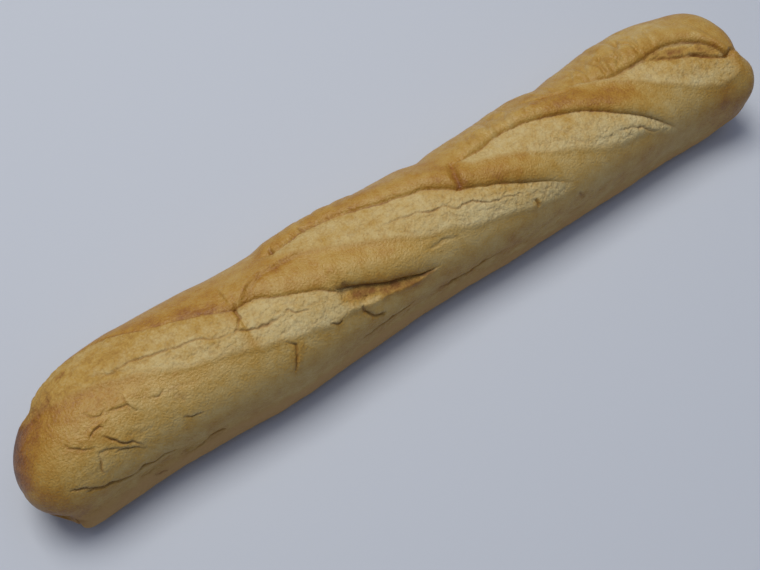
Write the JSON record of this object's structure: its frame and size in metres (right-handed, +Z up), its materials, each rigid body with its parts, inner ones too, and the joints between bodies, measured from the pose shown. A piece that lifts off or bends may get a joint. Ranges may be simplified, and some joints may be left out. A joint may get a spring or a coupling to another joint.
{
  "type": "baguette",
  "caption": "Long crusty bread loaf with slanting scored cuts along its top, rounded ends and a flat sole that it rests on.",
  "frame": {"origin": "middle of the flat sole, under the middle of the loaf's box", "axes": "+X along the loaf's length, +Z up away from the sole, +Y across it"},
  "size_m": [0.5, 0.0898, 0.0656],
  "materials": {
    "crust": "baked bread crust, matte to satin, floury towards the sole, rough pale crumb in the cuts"
  },
  "bodies": {
    "root": {"loaf": "crust"}
  },
  "joints": []
}
